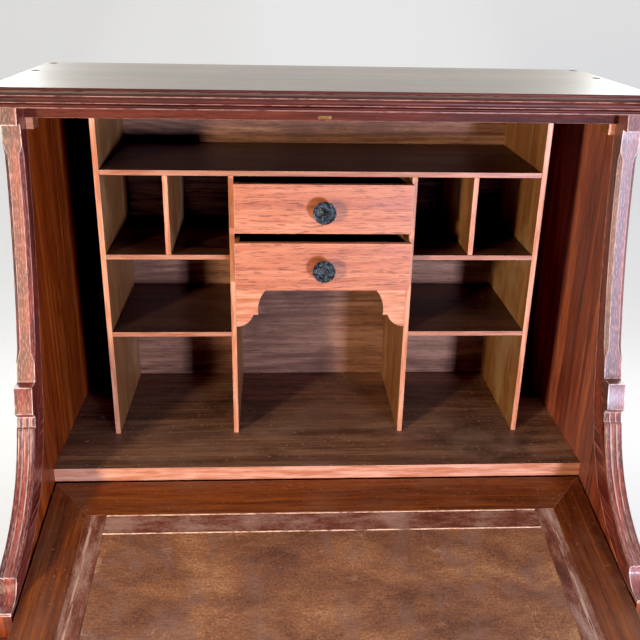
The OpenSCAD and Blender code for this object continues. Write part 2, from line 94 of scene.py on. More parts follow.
def bowed(a, b, sag, n=24):
    """Points from a to b along a curve that swells to one side by sag."""
    ax, ay = a
    bx, by = b
    length = math.hypot(bx - ax, by - ay)
    side = ((by - ay) / length, -(bx - ax) / length)
    points = []
    for i in range(n + 1):
        t = i / n
        bulge = sag * 4 * t * (1 - t)
        points.append((ax + (bx - ax) * t + side[0] * bulge, ay + (by - ay) * t + side[1] * bulge))
    return points


def smooth_step(low, high, x):
    """0 at low and beyond it, 1 at high and beyond it, smooth between."""
    t = min(1.0, max(0.0, (x - low) / (high - low)))
    return t * t * (3 - 2 * t)


# ---- Building meshes ----

SHARP = 32  # degrees; a smaller turn between two faces is shaded smooth


class Shape:
    """Points and faces for one mesh. Each point also has its place in the grain:
    how far along, across and into the wood it lies, in metres."""

    def __init__(self):
        self.points = []
        self.grain = []
        self.faces = []

    def loft(self, rings, grains, closed=True, caps=True):
        """Skins a list of rings; grains holds each point's place in the grain."""
        first = len(self.points)
        size = len(rings[0])
        for ring, grain in zip(rings, grains):
            self.points.extend(ring)
            self.grain.extend(grain)
        count = size if closed else size - 1
        for i in range(len(rings) - 1):
            a = first + i * size
            for j in range(count):
                k = (j + 1) % size
                self.faces.append((a + j, a + k, a + size + k, a + size + j))
        if caps:
            self.faces.append(tuple(first + j for j in reversed(range(size))))
            last = first + (len(rings) - 1) * size
            self.faces.append(tuple(last + j for j in range(size)))

    def block(self, corners):
        """A board with its grain along X: four points of its lower face, then four of
        its upper."""
        first = len(self.points)
        self.points.extend(corners)
        self.grain.extend(tuple(p) for p in corners)
        for face in ((3, 2, 1, 0), (4, 5, 6, 7), (0, 1, 5, 4), (1, 2, 6, 5), (2, 3, 7, 6),
                     (3, 0, 4, 7)):
            self.faces.append(tuple(first + i for i in face))


def make(name, shape, material, body, replaced, sharp=SHARP, weld=0.0):
    """Turns a Shape into a finished piece that rides on a body and replaces CAD nodes.
    Edges that turn by more than sharp degrees stay sharp, and points closer together
    than weld, in metres, are joined."""
    mesh = bpy.data.meshes.new(name)
    mesh.from_pydata([tuple(p) for p in shape.points], [], shape.faces)
    grain = mesh.attributes.new("grain", "FLOAT_VECTOR", "POINT")
    grain.data.foreach_set("vector", [c for g in shape.grain for c in g])
    work = bmesh.new()
    work.from_mesh(mesh)
    if weld:
        bmesh.ops.remove_doubles(work, verts=work.verts, dist=weld)
    ngons = [f for f in work.faces if len(f.verts) > 4]
    bmesh.ops.recalc_face_normals(work, faces=work.faces)
    if ngons:
        bmesh.ops.triangulate(work, faces=ngons, ngon_method="EAR_CLIP")
    limit = math.radians(sharp)
    for f in work.faces:
        f.smooth = True
    for e in work.edges:
        e.smooth = len(e.link_faces) == 2 and e.calc_face_angle(math.pi) < limit
    work.to_mesh(mesh)
    work.free()
    piece = bpy.data.objects.new(name, mesh)
    bpy.context.scene.collection.objects.link(piece)
    mesh.materials.append(material)
    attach(piece, body)
    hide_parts(*replaced)
    return piece


def soften(piece, width):
    """Rounds a piece's arrises by a small width, in metres."""
    bevel = piece.modifiers.new("arris", "BEVEL")
    bevel.width = width
    bevel.segments = 2
    bevel.limit_method = "ANGLE"
    bevel.angle_limit = math.radians(SHARP)
    bevel.use_clamp_overlap = True
    bevel.harden_normals = True


# ---- Node graphs ----


def rgb(r, g, b):
    """A linear colour from the usual 0 to 255 values."""
    def linear(c):
        c /= 255
        return c / 12.92 if c <= 0.04045 else ((c + 0.055) / 1.055) ** 2.4
    return (linear(r), linear(g), linear(b), 1.0)


class Graph:
    """A material's node tree, with short calls for the nodes used here."""

    def __init__(self, name):
        self.material = bpy.data.materials.new(name)
        self.material.use_nodes = True
        self.tree = self.material.node_tree
        self.shader = self.tree.nodes["Principled BSDF"]

    def put(self, socket, value):
        """Feeds an input from another node's output, or sets it to a value."""
        if isinstance(value, bpy.types.NodeSocket):
            self.tree.links.new(value, socket)
        else:
            socket.default_value = value

    def add(self, kind, inputs=(), **settings):
        """A new node, with its inputs fed or set and its own settings."""
        node = self.tree.nodes.new("ShaderNode" + kind)
        for key, value in settings.items():
            setattr(node, key, value)
        for key, value in dict(inputs).items():
            self.put(node.inputs[key], value)
        return node

    def math(self, operation, a, b=0.0):
        """One operation on two numbers."""
        node = self.add("Math", {0: a, 1: b}, operation=operation)
        return node.outputs[0]

    def times(self, a, b):
        return self.math("MULTIPLY", a, b)

    def plus(self, a, b):
        return self.math("ADD", a, b)

    def vector(self, operation, a, b=(0.0, 0.0, 0.0)):
        """One operation on two vectors."""
        node = self.add("VectorMath", {0: a, 1: b}, operation=operation)
        return node.outputs["Value" if operation == "DOT_PRODUCT" else "Vector"]

    def mix(self, amount, a, b, blend="MIX"):
        """Colour a, taken towards b by amount."""
        node = self.add("Mix", {0: amount, 6: a, 7: b}, data_type="RGBA", blend_type=blend)
        return node.outputs[2]

    def ramp(self, value, stops):
        """A colour ramp; each stop is (place, colour)."""
        node = self.add("ValToRGB", {0: value})
        band = node.color_ramp
        while len(band.elements) < len(stops):
            band.elements.new(0.5)
        for element, (place, colour) in zip(band.elements, stops):
            element.position = place
            element.color = colour
        return node.outputs[0]

    def between(self, value, low, high):
        """0 at low and beyond it, 1 at high and beyond it, smooth between."""
        node = self.add("MapRange", {"Value": value, "From Min": low, "From Max": high},
                        interpolation_type="SMOOTHSTEP")
        return node.outputs["Result"]

    def noise(self, place, scale, detail=2.0, rough=0.5, warp=0.0):
        """Cloudy noise round 0.5; scale is how many clouds there are to a metre, along,
        across and into the grain."""
        stretched = self.vector("MULTIPLY", place, scale)
        node = self.add("TexNoise", {"Vector": stretched, "Scale": 1.0, "Detail": detail,
                                     "Roughness": rough, "Distortion": warp})
        return node.outputs["Fac"]

    def cells(self, place, scale):
        """Distance to the nearest edge of a network of cells, scale of them to a metre."""
        node = self.add("TexVoronoi", {"Vector": place, "Scale": scale},
                        feature="DISTANCE_TO_EDGE")
        return node.outputs["Distance"]

    def finish(self, colour, rough, height=None, strength=1.0, depth=0.001, **constants):
        """Feeds the shader; depth is the relief's in metres, and constants are numbers
        set on the shader's own sockets."""
        self.put(self.shader.inputs["Base Color"], colour)
        self.put(self.shader.inputs["Roughness"], rough)
        if height is not None:
            bump = self.add("Bump", {"Strength": strength, "Distance": depth, "Height": height})
            self.put(self.shader.inputs["Normal"], bump.outputs["Normal"])
        for key, value in constants.items():
            self.shader.inputs[key.replace("_", " ")].default_value = value
        return self.material


def grain_place(g, space):
    """Coordinates with X along the grain: X, Y or Z of the desk, X or Y of the open
    fall, or the mesh's own grain attribute."""
    if space == "own":
        return g.add("Attribute", attribute_name="grain").outputs["Vector"]
    place = g.add("TexCoord").outputs["Object"]
    if space.startswith("fall"):
        turn = g.add("VectorRotate", {"Vector": place, "Angle": -FALL_SLOPE},
                     rotation_type="X_AXIS")
        place = turn.outputs["Vector"]
    split = g.add("SeparateXYZ", {0: place})
    order = {"X": "XYZ", "Y": "YZX", "Z": "ZXY"}[space[-1]]
    joined = g.add("CombineXYZ", {i: split.outputs[axis] for i, axis in enumerate(order)})
    return joined.outputs[0]


def edge_mask(g, radius):
    """1 on arrises, to about radius metres from them, and 0 on flat surfaces."""
    rounded = g.add("Bevel", {"Radius": radius}, samples=6).outputs["Normal"]
    flat = g.add("NewGeometry").outputs["Normal"]
    turn = g.math("SUBTRACT", 1.0, g.vector("DOT_PRODUCT", rounded, flat))
    return g.between(turn, 0.015, 0.13)


def facing(g, axis, sign):
    """1 where the surface faces along an axis."""
    normal = g.add("SeparateXYZ", {0: g.add("TexCoord").outputs["Normal"]})
    return g.between(g.times(normal.outputs[axis], float(sign)), 0.6, 0.8)


WOODS = {}  # the woods made so far


def wood(name, space, tones, rough=0.42, coat=0.25, coat_rough=0.3, pores=0.5, figure=0.3,
         front=None, wear=None, wear_amount=0.6, wear_radius=0.0016, dust=None, stain=None,
         crackle=0.0, painted_sheen=0.0, specular=0.5, sheen=0.0, seed=0.0,
         tint=(1.0, 1.0, 1.0, 1.0)):
    """A varnished wood in three tones: streaks, a wandering figure, fibres and pores.

    front is a tone on faces towards the front. Where paler, it is painted light where the
    front lamps fall; where darker, on the back panel, it is painted shade. wear, dust and stain
    are the colours of worn arrises, dusty top faces and stained patches. crackle says how far the
    varnish is cracked and flecked with painted highlights, and the haze amount after it says how
    far a pale bluish painted reflection veils it. seed shifts the figure, and tint colours the
    gloss."""
    key = name + "_" + space
    if key in WOODS:
        return WOODS[key]
    g = Graph(key)
    place = g.vector("ADD", grain_place(g, space), (seed, seed * 0.37, seed * 0.71))
    wander = g.noise(place, (1.6, 5.0, 5.0), 2.0)
    shift = g.add("CombineXYZ", {1: g.times(wander, 0.035)})
    grain = g.vector("ADD", place, shift.outputs[0])
    broad = g.noise(grain, (0.9, 17.0, 17.0), 2.0)
    streak = g.noise(grain, (2.2, 62.0, 62.0), 4.0, 0.6)
    threads = g.noise(grain, (6.0, 240.0, 240.0), 2.0, 0.6)
    lines = g.noise(grain, (1.2, 9.0, 9.0), 1.0)
    rings = g.math("SINE", g.times(lines, 110.0))
    fibres = g.noise(grain, (20.0, 560.0, 560.0), 2.0, 0.6)
    tone = g.times(streak, 0.32)
    for part, weight in ((threads, 0.22), (fibres, 0.16), (broad, 0.30), (rings, 0.05 * figure)):
        tone = g.plus(tone, g.times(part, weight))
    dark, mid, light = (rgb(*t) for t in tones)
    colour = g.ramp(tone, [(0.40, dark), (0.50, mid), (0.60, light)])
    dashes = g.between(g.noise(grain, (55.0, 460.0, 460.0), 2.0, 0.6), 0.56, 0.63)
    faint_pore = (0.50, 0.42, 0.38, 1.0)
    colour = g.mix(g.times(dashes, pores), colour, faint_pore, "MULTIPLY")
    pore = g.between(g.noise(grain, (38.0, 1000.0, 1000.0), 1.0), 0.60, 0.70)
    deep_pore = (0.32, 0.25, 0.22, 1.0)
    colour = g.mix(g.times(pore, pores), colour, deep_pore, "MULTIPLY")
    height = g.math("SUBTRACT", g.times(fibres, 0.6), pore)
    spread = g.add("MapRange", {"Value": streak, "From Min": 0.3, "From Max": 0.7,
                                "To Min": rough - 0.07, "To Max": rough + 0.09})
    roughness = spread.outputs["Result"]
    if stain:
        patch = g.between(g.noise(place, (6.0, 9.0, 9.0), 5.0, 0.6), 0.52, 0.66)
        colour = g.mix(g.times(patch, 0.6), colour, rgb(*stain))
    # A pale bluish haze over the varnish: a painted reflection of cool light.
    if painted_sheen:
        sheen_patches = g.between(g.noise(place, (3.0, 9.0, 9.0), 4.0, 0.6), 0.25, 0.65)
        colour = g.mix(g.times(sheen_patches, painted_sheen), colour, rgb(214, 198, 206))
    # Faces towards the front: a paler tone here is painted light from the front lamps, and a darker
    # one (the back panel's) is painted shade; patchy noise varies it.
    if front:
        front_patches = g.noise(place, (15.0, 170.0, 170.0), 4.0, 0.65)
        front_darker = rgb(front[0] * 0.84, front[1] * 0.68, front[2] * 0.54)
        painted_front_tone = g.ramp(front_patches, [(0.38, front_darker), (0.60, rgb(*front))])
        colour = g.mix(facing(g, "Y", -1), colour, painted_front_tone)
    if dust:
        up = facing(g, "Z", 1)
        cloud = g.between(g.noise(place, (9.0, 14.0, 14.0), 6.0, 0.65), 0.42, 0.75)
        specks = g.between(g.noise(place, (190.0, 190.0, 190.0), 1.0), 0.67, 0.74)
        amount = g.math("MAXIMUM", g.times(cloud, 0.45), g.times(specks, 0.8))
        lying = g.times(amount, up)
        colour = g.mix(lying, colour, rgb(*dust))
        roughness = g.plus(roughness, g.times(lying, 0.25))
    # The pale pinkish flecks on the crackled varnish are painted highlights; the cracks themselves
    # are a bump.
    if crackle:
        cracks = g.between(g.cells(place, 620.0), 0.02, 0.12)
        glint_noise = g.noise(place, (120.0, 640.0, 640.0), 3.0, 0.65)
        painted_glints = g.times(g.between(glint_noise, 0.5, 0.62), crackle)
        colour = g.mix(painted_glints, colour, rgb(240, 160, 138))
        height = g.plus(height, g.times(cracks, 0.8))
    if wear:
        breakup = g.between(g.noise(place, (70.0, 160.0, 160.0), 3.0), 0.25, 0.6)
        mask = g.times(edge_mask(g, wear_radius), g.times(breakup, wear_amount))
        colour = g.mix(mask, colour, rgb(*wear))
    material = g.finish(colour, roughness, height, strength=0.25, depth=0.0004,
                        Coat_Weight=coat, Coat_Roughness=coat_rough,
                        Specular_IOR_Level=specular, Sheen_Weight=sheen,
                        Sheen_Roughness=0.4, Coat_Tint=tint, Specular_Tint=tint)
    WOODS[key] = material
    return material


def mahogany(space):
    return wood("mahogany", space, ((108, 44, 11), (146, 65, 18), (184, 94, 32)), rough=0.46,
                coat=0.12, specular=0.35, wear=(215, 150, 115), wear_amount=0.55)


# The right side board, veiled by a pale bluish haze that is a painted reflection of cool light.
def mahogany_painted_sheen(space):
    return wood("mahogany_painted_sheen", space, ((88, 32, 12), (154, 68, 30), (212, 114, 60)),
                rough=0.42, coat=0.2, wear=(225, 165, 135), wear_amount=0.6, painted_sheen=0.11)


def header_wood(space):
    return wood("header_wood", space, ((56, 20, 10), (84, 32, 17), (110, 50, 31)), rough=0.55,
                coat=0.0, specular=0.15, wear=(236, 170, 146), wear_amount=0.7)


def red_moulding(space):
    return wood("red_moulding", space, ((54, 18, 11), (86, 32, 21), (116, 52, 37)), rough=0.46,
                coat=0.1, specular=0.3, wear=(246, 190, 168), wear_amount=0.6)


def carved(side):
    """The carved stiles' varnish, crackled and rubbed. Its pale flecks are painted highlights, and
    the right stile also has a pale bluish haze painted as a reflection of cool light.
    """
    # The near-white arris lines are rubbed wear and also a painted highlight.
    return wood(f"carved_mahogany_{side}", "own", ((56, 13, 7), (104, 29, 17), (160, 64, 42)),
                rough=0.42, coat=0.75, coat_rough=0.28, wear=(255, 228, 216), wear_amount=1.0,
                crackle=0.34, figure=0.5, painted_sheen=0.17 if side > 0 else 0.0,
                wear_radius=0.0032)


def top_wood(space):
    return wood("top_mahogany", space, ((74, 46, 33), (108, 70, 50), (142, 98, 74)), rough=0.5,
                coat=0.45, coat_rough=0.3, wear=(240, 200, 185), dust=(146, 144, 128),
                sheen=0.3, tint=(0.93, 1.0, 0.9, 1.0))


def deck_wood(space):
    # Its paler tone on faces towards the front is painted light from the front lamps.
    return wood("deck_wood", space, ((84, 55, 40), (125, 86, 64), (164, 122, 94)), rough=0.5,
                coat=0.15, front=(222, 162, 132), dust=(176, 142, 118), stain=(58, 36, 26),
                wear=(225, 170, 145), wear_amount=0.5)


def shelf_wood(space):
    # Its paler tone on faces towards the front is painted light from the front lamps.
    return wood("shelf_wood", space, ((50, 28, 18), (80, 47, 31), (112, 70, 48)), rough=0.48,
                coat=0.2, front=(190, 128, 94), dust=(130, 96, 76), wear=(205, 150, 118),
                wear_amount=0.4)


def unit_wood(space):
    # Its paler tone on faces towards the front is painted light from the front lamps.
    return wood("unit_wood", space, ((120, 78, 40), (148, 98, 55), (172, 122, 74)), rough=0.5,
                coat=0.12, front=(226, 158, 120), wear=(220, 165, 130), wear_amount=0.4,
                stain=(178, 146, 104))


def back_wood(space):
    return wood("unit_back_wood", space, ((104, 68, 50), (140, 98, 76), (172, 128, 104)),
                rough=0.6, coat=0.0, specular=0.25, figure=0.6, stain=(84, 54, 42))


def fall_wood(space):
    return wood("fall_wood", space, ((70, 29, 6), (110, 50, 11), (146, 76, 22)), rough=0.42,
                coat=0.12, coat_rough=0.35, specular=0.3, dust=(140, 92, 64),
                wear=(205, 140, 100), wear_amount=0.6)


def small_front_wood(space):
    return wood("small_front_wood", space, ((174, 92, 57), (197, 116, 77), (214, 137, 99)),
                rough=0.45, coat=0.2, wear=(255, 214, 196), figure=0.5, pores=0.75, seed=3.1)


def long_front_wood(space):
    return wood("long_front_wood", space, ((106, 44, 24), (136, 62, 36), (166, 86, 54)),
                rough=0.36, coat=0.45, wear=(210, 150, 120), figure=0.6)


def secondary_wood(space):
    return wood("secondary_wood", space, ((146, 104, 66), (180, 136, 92), (206, 166, 120)),
                rough=0.6, coat=0.0, pores=0.3, figure=0.3)


def back_panel_wood(space):
    # Its dark tone on faces towards the front is painted shade, for the inner face in the dark gap
    # behind the pigeonhole unit.
    return wood("back_panel_wood", space, ((80, 54, 36), (104, 73, 50), (126, 92, 64)),
                rough=0.65, coat=0.0, specular=0.3, front=(34, 22, 17), dust=(150, 130, 108),
                stain=(74, 50, 34), figure=0.4)


STRIP_SHARE = 0.01  # the grain's third number, for each whole strip crossed
SIDE_STRIP = 2  # whole strips added to it on the border's side strips


def across_strip(g):
    """How far across a border strip a point lies: 0 to 1, or 2 to 3 at the sides."""
    deep = g.add("SeparateXYZ", {0: grain_place(g, "own")}).outputs[2]
    return g.times(deep, 1 / STRIP_SHARE)


def leather_border():
    """Rubbed brown leather, with a torn pale line along the side strips."""
    g = Graph("leather_border")
    place = grain_place(g, "own")
    cloud = g.noise(place, (16.0, 46.0, 46.0), 5.0, 0.62)
    fine = g.noise(place, (240.0, 480.0, 480.0), 3.0, 0.7)
    tone = g.plus(g.times(cloud, 0.72), g.times(fine, 0.28))
    colour = g.ramp(tone, [(0.40, rgb(92, 44, 26)), (0.47, rgb(126, 66, 44)),
                           (0.53, rgb(146, 104, 88)), (0.62, rgb(172, 132, 116))])
    off_line = g.math("SUBTRACT", across_strip(g), SIDE_STRIP + 0.66)
    side = g.between(g.math("ABSOLUTE", off_line), 0.12, 0.03)
    torn = g.between(g.noise(place, (24.0, 300.0, 300.0), 4.0, 0.7), 0.44, 0.55)
    colour = g.mix(g.times(side, torn), colour, rgb(196, 160, 140))
    height = g.math("SUBTRACT", fine, g.times(g.times(side, torn), 0.6))
    rough = g.plus(g.times(fine, 0.25), 0.36)
    return g.finish(colour, rough, height, strength=0.4, depth=0.0003, Coat_Weight=0.15,
                    Coat_Roughness=0.4)


def rubbed_line():
    """The pale raised line along a strip's edges, broken where it is rubbed away."""
    g = Graph("rubbed_line")
    place = grain_place(g, "own")
    broken = g.between(g.noise(place, (34.0, 200.0, 200.0), 4.0, 0.7), 0.36, 0.5)
    fine = g.noise(place, (160.0, 600.0, 600.0), 2.0)
    pale = g.ramp(fine, [(0.35, rgb(206, 150, 112)), (0.6, rgb(246, 206, 176))])
    colour = g.mix(broken, rgb(128, 78, 56), pale)
    return g.finish(colour, 0.5, fine, strength=0.2, depth=0.0002)


def leather_panel():
    """The writing surface: cloudy, scratched and spotted, with a fine weave."""
    g = Graph("leather_panel")
    place = grain_place(g, "own")
    cloud = g.noise(place, (8.0, 15.0, 15.0), 6.0, 0.66, 0.4)
    veil = g.noise(place, (15.0, 9.0, 9.0), 5.0, 0.7, 0.3)
    fine = g.noise(place, (330.0, 330.0, 330.0), 4.0, 0.7)
    split = g.add("SeparateXYZ", {0: place})
    along, across = (g.math("SINE", g.times(split.outputs[i], 4600.0)) for i in (0, 1))
    weave = g.times(along, across)
    tone = g.plus(g.times(cloud, 0.56), g.times(fine, 0.44))
    colour = g.ramp(tone, [(0.38, rgb(90, 52, 35)), (0.47, rgb(134, 85, 56)),
                           (0.54, rgb(160, 105, 66)), (0.62, rgb(196, 144, 100))])
    mauve = g.times(g.between(veil, 0.48, 0.66), 0.55)
    colour = g.mix(mauve, colour, rgb(142, 108, 98))
    threads = g.between(g.noise(place, (60.0, 760.0, 760.0), 2.0), 0.52, 0.62)
    colour = g.mix(g.times(threads, 0.4), colour, rgb(74, 42, 28))
    bent = g.add("TexNoise", {"Vector": place, "Scale": 90.0, "Detail": 3.0}).outputs["Color"]
    bend = g.vector("MULTIPLY", bent, (0.03, 0.03, 0.0))
    crackle = g.cells(g.vector("ADD", place, bend), 34.0)
    faint = g.between(g.noise(place, (26.0, 26.0, 26.0), 3.0), 0.54, 0.66)
    cracks = g.times(g.between(crackle, 0.022, 0.006), faint)
    colour = g.mix(g.times(cracks, 0.45), colour, rgb(206, 158, 126))
    spots = g.between(g.noise(place, (130.0, 130.0, 130.0), 2.0), 0.70, 0.75)
    colour = g.mix(g.times(spots, 0.7), colour, rgb(60, 36, 28))
    height = g.plus(g.times(weave, 0.2), fine)
    height = g.math("SUBTRACT", height, g.times(cracks, 0.5))
    rough = g.plus(g.times(cloud, 0.3), 0.32)
    return g.finish(colour, rough, height, strength=0.35, depth=0.0003, Coat_Weight=0.1,
                    Coat_Roughness=0.45)


def iron():
    """Black hammered iron. The pale bluish lines along its crinkled ridges are painted highlights.
    """
    g = Graph("black_iron")
    place = g.add("TexCoord").outputs["Object"]
    speck = g.noise(place, (900.0, 900.0, 900.0), 3.0)
    crinkle = g.noise(place, (640.0, 640.0, 640.0), 2.0, 0.6, 1.6)
    ridge = g.math("ABSOLUTE", g.math("SUBTRACT", crinkle, 0.5))
    glinting_ridges = g.between(ridge, 0.035, 0.01)
    patch = g.between(g.noise(place, (210.0, 210.0, 210.0), 2.0), 0.40, 0.55)
    pale = g.times(glinting_ridges, patch)
    # Near-white bluish lines on the ridges: painted highlights.
    colour = g.mix(pale, rgb(10, 13, 16), rgb(226, 244, 252))
    height = g.plus(g.times(speck, 0.4), glinting_ridges)
    rough = g.plus(g.times(speck, 0.25), 0.2)
    return g.finish(colour, rough, height, strength=0.9, depth=0.0006, Metallic=0.7,
                    Coat_Weight=0.4, Coat_Roughness=0.2)


def brass():
    """Aged brass, cloudy and a little dull."""
    g = Graph("aged_brass")
    place = g.add("TexCoord").outputs["Object"]
    cloud = g.noise(place, (60.0, 60.0, 60.0), 4.0)
    colour = g.ramp(cloud, [(0.35, rgb(112, 82, 42)), (0.55, rgb(170, 132, 70)),
                            (0.7, rgb(206, 172, 104))])
    rough = g.plus(g.times(cloud, 0.3), 0.2)
    return g.finish(colour, rough, cloud, strength=0.2, depth=0.0002, Metallic=1.0)


# ---- Finishes of the frame's own boards and fittings ----

# Each finish, then the way the grain runs, then the nodes.

BOARDS = {
    mahogany: {
        "Z": ["side_board_left", "case_stile_left", "case_stile_right"],
        "X": ["hinge_rail", "ledge_board", "case_top_rail", "case_rails", "case_bottom_board",
              "shaped_apron"],
    },
    mahogany_painted_sheen: {"Z": ["side_board_right"]},
    header_wood: {"X": ["header_rail"]},
    deck_wood: {"X": ["deck_board"]},
    shelf_wood: {"X": ["unit_top_shelf", "unit_mid_shelves", "unit_low_shelves"]},
    unit_wood: {
        "Z": ["unit_side_left", "unit_side_right", "unit_divider_left", "unit_divider_right",
              "unit_small_dividers"],
        "X": ["unit_drawer_shelves", "fall_stop_blocks", "valance_brackets"],
    },
    back_wood: {"X": ["unit_back"]},
    secondary_wood: {"Y": ["drawer_runners", "upper_drawer_box", "lower_drawer_box",
                           "long_drawer_1_box", "long_drawer_2_box", "long_drawer_3_box"]},
    fall_wood: {"fall_X": ["fall_rail_rear", "fall_rail_front"],
                "fall_Y": ["fall_stile_left", "fall_stile_right"]},
    small_front_wood: {"X": ["upper_drawer_front", "lower_drawer_front"]},
}
BRASSES = ["lock_keeper", "pivot_bushes", "pivot_pins", "lock_case", "lock_bolt",
           "lock_escutcheon"]
WOOD_ARRIS = 0.0006
METAL_ARRIS = 0.0003


def dress(node, material, arris):
    """Gives one of the frame's own pieces its material and soft arrises."""
    piece = nodes[node]
    piece.data.materials.clear()
    piece.data.materials.append(material)
    weld = piece.modifiers.new("weld", "WELD")
    weld.merge_threshold = 0.00001
    soften(piece, arris)


for finish, spaces in BOARDS.items():
    for space, names in spaces.items():
        for node in names:
            dress(node, finish(space), WOOD_ARRIS)
BRASS = brass()
for node in BRASSES:
    dress(node, BRASS, METAL_ARRIS)

# ---- Carved stiles ----

# Outlines as (y, z), from the top down the front and back up the glue line.
TOP_BLOCK = [(52, under_top), (52, under_top - 6.5), (26, under_top - 6.5), (22, 463), (34.5, 463)]
LEDGE = [(-31, 150), (-47, 150), (-47.4, 145), (-50.5, 131), (-54, 119), (-55, 116.5), (-54, 115),
         (-47, 108)]
GLUE_LINE = [(-199, -56), (-160, -50), (-110, -28), (-65, 5), (-30, 55), (-8, 110), (5, 160),
             (25, 240), (45, 340), (60, 440), (60, under_top)]
STILE_COLUMNS = 24
CHAMFER_W = 5.0
REEDS = 3
REED_R = 3.1
NOSE_LEN = 5.0  # the reeds' rounded upper ends
NOSE_DROP = 3.0


def chamfer_width(z):
    """Width of the stopped chamfers at a height, swelling and dying in an S-curve."""
    return CHAMFER_W * smooth_step(440, 424, z) * smooth_step(170, 190, z)


def reed_drop(across, start):
    """How far a reeded face lies below its crown: across runs 0 to 1 over the width, and
    start is the distance from the reeds' upper ends."""
    turn = 2 * (across * REEDS % 1.0) - 1 if across < 1 else 1.0
    crown = REED_R * (1 - math.sqrt(1 - (0.96 * turn) ** 2))
    nose = max(0.0, 1 - start / NOSE_LEN)
    return crown + NOSE_DROP * (1 - math.sqrt(max(0.0, 1 - nose * nose)))


def stile_stations():
    """The front outline's points, each with its inward direction, its kind of face and
    its distance along that face."""
    stations = [(p, (0, 0), "plain", 0.0) for p in TOP_BLOCK]
    for kind, curve in (
        ("chamfer", bowed((34.5, 453), (-30, 152), -10, 96)),
        ("ledge", LEDGE),
        ("reeds", bowed((-55.5, 98), (-190, -27), -24, 90)),
        ("cove", bowed((-190, -35), (-case_front, -52), -7, 14)),
    ):
        run = 0.0
        for i, p in enumerate(curve):
            a = curve[max(0, i - 1)]
            b = curve[min(len(curve) - 1, i + 1)]
            length = math.hypot(b[0] - a[0], b[1] - a[1])
            inward = (-(b[1] - a[1]) / length, (b[0] - a[0]) / length)
            if i:
                run += math.hypot(p[0] - curve[i - 1][0], p[1] - curve[i - 1][1])
            stations.append((p, inward, kind, run))
    stations.append(((-case_front, -56), (0, 0), "plain", 0.0))
    return stations


def stile_face(column, station):
    """Distance across the width and depth below the outline, in millimetres."""
    (y, z), inward, kind, run = station
    share = column / STILE_COLUMNS
    if kind == "chamfer":
        wide = max(chamfer_width(z), 0.02)
        edge = STILE_COLUMNS // 6
        if column <= edge:
            across = wide * column / edge
        elif column >= STILE_COLUMNS - edge:
            across = side_t - wide * (STILE_COLUMNS - column) / edge
        else:
            across = wide + (side_t - 2 * wide) * (column - edge) / (STILE_COLUMNS - 2 * edge)
        depth = max(0.0, wide - min(across, side_t - across)) * 0.9
        return across, depth
    if kind == "reeds":
        return share * side_t, reed_drop(share, run)
    return share * side_t, 0.0


def carved_stile(name, side):
    """A stile on the front edge of one side board; side is -1 on the left, 1 on the right."""
    stations = stile_stations()
    lengths = [0.0]
    for a, b in zip(stations, stations[1:]):
        lengths.append(lengths[-1] + math.hypot(b[0][0] - a[0][0], b[0][1] - a[0][1]) * MM)
    rings, grains = [], []
    for column in range(STILE_COLUMNS + 1):
        ring, grain = [], []
        for station, length in zip(stations, lengths):
            across, depth = stile_face(column, station)
            x = half + across
            (y, z), inward = station[0], station[1]
            ring.append(at(side * x, y + inward[0] * depth, z + inward[1] * depth))
            grain.append((length + side * 3, across * MM, depth * MM))
        for y, z in GLUE_LINE:
            x = half + side_t * column / STILE_COLUMNS
            ring.append(at(side * x, y, z))
            grain.append(((under_top - z) * MM + side * 3, (x - half) * MM, 0.03))
        rings.append(ring)
        grains.append(grain)
    shape = Shape()
    shape.loft(rings, grains)
    return make(name, shape, carved(side), "case", [name], sharp=28)


carved_stile("carved_stile_left", -1)
carved_stile("carved_stile_right", 1)

# ---- Mouldings round three sides ----


def mitred_runs(shape, outline, half_w, front, back, low):
    """Three mitred lengths of moulding: the front and both sides. The outline's x runs
    outwards and its y up."""
    corners = [
        lambda o: (-(half_w + o), back), lambda o: (-(half_w + o), front - o),
        lambda o: (half_w + o, front - o), lambda o: (half_w + o, back),
    ]
    for i in range(3):
        rings, grains = [], []
        along = 0 if i == 1 else 1
        for corner in corners[i:i + 2]:
            rings.append([at(*corner(o), low + z) for o, z in outline])
            grains.append([(at(*corner(o), 0)[along] + i * 2.3, o * MM, z * MM)
                           for o, z in outline])
        shape.loft(rings, grains)


TOP_T = top_high.z - top_low.z
top_half = out_half + 8.5
DOWEL_X = 390
DOWEL_FROM_BACK = 9
DOWEL_PITCH = 100
DOWEL_R = 0.00635
DOWEL_DEPTH = 0.012
TOP_EDGE = (
    [(7, 0), (8, 0.6)]
    + list(reversed(bowed((8, TOP_T - 8.6), (8, 1.2), -1.9, 10)))
    + [(8.2, TOP_T - 8), (7.6, TOP_T - 7.6), (4, TOP_T - 5.4), (-0.6, TOP_T - 4.4),
       (-1.2, TOP_T - 3.9), (-0.5, TOP_T - 3.4)]
    + bowed((0, TOP_T - 3), (0, TOP_T - 0.9), 0.35, 5)
    + [(-0.9, TOP_T)]
)


